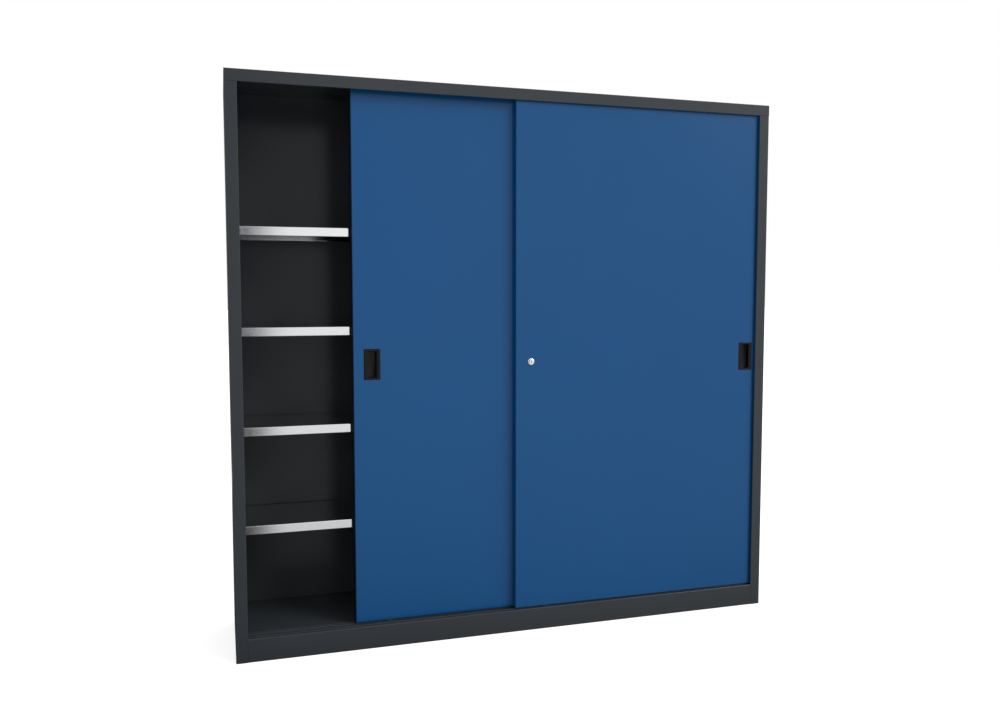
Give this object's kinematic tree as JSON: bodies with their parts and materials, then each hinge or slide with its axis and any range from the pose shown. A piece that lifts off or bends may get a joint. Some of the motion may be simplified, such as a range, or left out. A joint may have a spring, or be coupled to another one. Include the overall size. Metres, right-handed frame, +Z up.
{
  "type": "sliding door cabinet",
  "caption": "Wide steel office cabinet in anthracite with blue sliding doors, flush black pulls, a push lock and galvanised shelves.",
  "frame": {"origin": "middle of the base, on the floor", "axes": "+X to the right along the front, +Y from the front towards the back, +Z up"},
  "size_m": [2, 0.4, 1.95],
  "materials": {
    "carcass_paint": "satin powder coat, anthracite",
    "door_paint": "satin powder coat, blue",
    "zinc_steel": "galvanised",
    "black_plastic": "moulded, fine grain",
    "black_rubber": "matt",
    "nylon": "natural nylon",
    "lock_chrome": "bright"
  },
  "bodies": {
    "root": {"back_joint_bolts": "zinc_steel", "back_joint_nuts": "zinc_steel", "bottom_track": "carcass_paint", "closing_buffers": "black_rubber", "floor_panel": "carcass_paint", "floor_stiffeners": "carcass_paint", "foot_plates": "carcass_paint", "front_guide_rail": "carcass_paint", "front_plinth": "carcass_paint", "left_back_panel": "carcass_paint", "left_front_upright": "carcass_paint", "left_rear_upright": "carcass_paint", "left_shelf_1": "zinc_steel", "left_shelf_2": "zinc_steel", "left_shelf_3": "zinc_steel", "left_shelf_4": "zinc_steel", "left_shelf_clips": "zinc_steel", "left_side": "carcass_paint", "opening_buffers": "black_rubber", "partition": "carcass_paint", "rear_guide_rail": "carcass_paint", "rear_plinth": "carcass_paint", "right_back_panel": "carcass_paint", "right_front_upright": "carcass_paint", "right_rear_upright": "carcass_paint", "right_shelf_1": "zinc_steel", "right_shelf_2": "zinc_steel", "right_shelf_3": "zinc_steel", "right_shelf_4": "zinc_steel", "right_shelf_clips": "zinc_steel", "right_side": "carcass_paint", "top_panel": "carcass_paint"},
    "front_door": {"front_door_bracket_screws": "zinc_steel", "front_door_edge_strip": "black_rubber", "front_door_panel": "door_paint", "front_door_pull": "black_plastic", "front_door_roller_axles": "zinc_steel", "front_door_roller_brackets": "zinc_steel", "front_door_stiffener": "zinc_steel", "front_door_top_guides": "nylon", "lock_housing": "lock_chrome", "lock_nut": "zinc_steel", "lock_spring": "zinc_steel"},
    "rear_door": {"rear_door_bracket_screws": "zinc_steel", "rear_door_edge_strip": "black_rubber", "rear_door_panel": "door_paint", "rear_door_pull": "black_plastic", "rear_door_roller_axles": "zinc_steel", "rear_door_roller_brackets": "zinc_steel", "rear_door_stiffener": "zinc_steel", "rear_door_top_guides": "nylon", "lock_keeper": "zinc_steel"},
    "front_door_wheel_left": {"front_door_wheel_left": "black_plastic"},
    "front_door_wheel_right": {"front_door_wheel_right": "black_plastic"},
    "rear_door_wheel_left": {"rear_door_wheel_left": "black_plastic"},
    "rear_door_wheel_right": {"rear_door_wheel_right": "black_plastic"},
    "lock_barrel": {"lock_barrel": "lock_chrome"},
    "lock_key_plug": {"lock_key_plug": "lock_chrome"}
  },
  "joints": [
    {"name": "rear_door_slide", "type": "slide", "parent": "root", "child": "rear_door", "axis": [1, 0, 0], "range_m": [-0.3925, 0.5775]},
    {"name": "front_door_slide", "type": "slide", "parent": "root", "child": "front_door", "axis": [1, 0, 0], "range_m": [-0.97, 0]},
    {"name": "front_door_wheel_left_roll", "type": "hinge", "parent": "front_door", "child": "front_door_wheel_left", "pos_m": [0.1035, -0.178, 0.093], "axis": [0, 1, 0], "continuous": true},
    {"name": "front_door_wheel_right_roll", "type": "hinge", "parent": "front_door", "child": "front_door_wheel_right", "pos_m": [0.8665, -0.178, 0.093], "axis": [0, 1, 0], "continuous": true},
    {"name": "rear_door_wheel_left_roll", "type": "hinge", "parent": "rear_door", "child": "rear_door_wheel_left", "pos_m": [-0.474, -0.153, 0.093], "axis": [0, 1, 0], "continuous": true},
    {"name": "rear_door_wheel_right_roll", "type": "hinge", "parent": "rear_door", "child": "rear_door_wheel_right", "pos_m": [0.289, -0.153, 0.093], "axis": [0, 1, 0], "continuous": true},
    {"name": "lock_push", "type": "slide", "parent": "front_door", "child": "lock_barrel", "axis": [0, 1, 0], "range_m": [0, 0.0046], "stiffness_N_per_m": 600, "springref_m": -0.004, "deforming": ["lock_spring"]},
    {"name": "key_turn", "type": "hinge", "parent": "lock_barrel", "child": "lock_key_plug", "pos_m": [0.041, -0.188, 0.988], "axis": [0, 1, 0], "range_deg": [0, 90]}
  ],
  "couplings": [
    {"joint": "front_door_wheel_left_roll", "follows": "front_door_slide", "rad_per_m": 76.923},
    {"joint": "front_door_wheel_right_roll", "follows": "front_door_slide", "rad_per_m": 76.923},
    {"joint": "rear_door_wheel_left_roll", "follows": "rear_door_slide", "rad_per_m": 76.923},
    {"joint": "rear_door_wheel_right_roll", "follows": "rear_door_slide", "rad_per_m": 76.923}
  ]
}
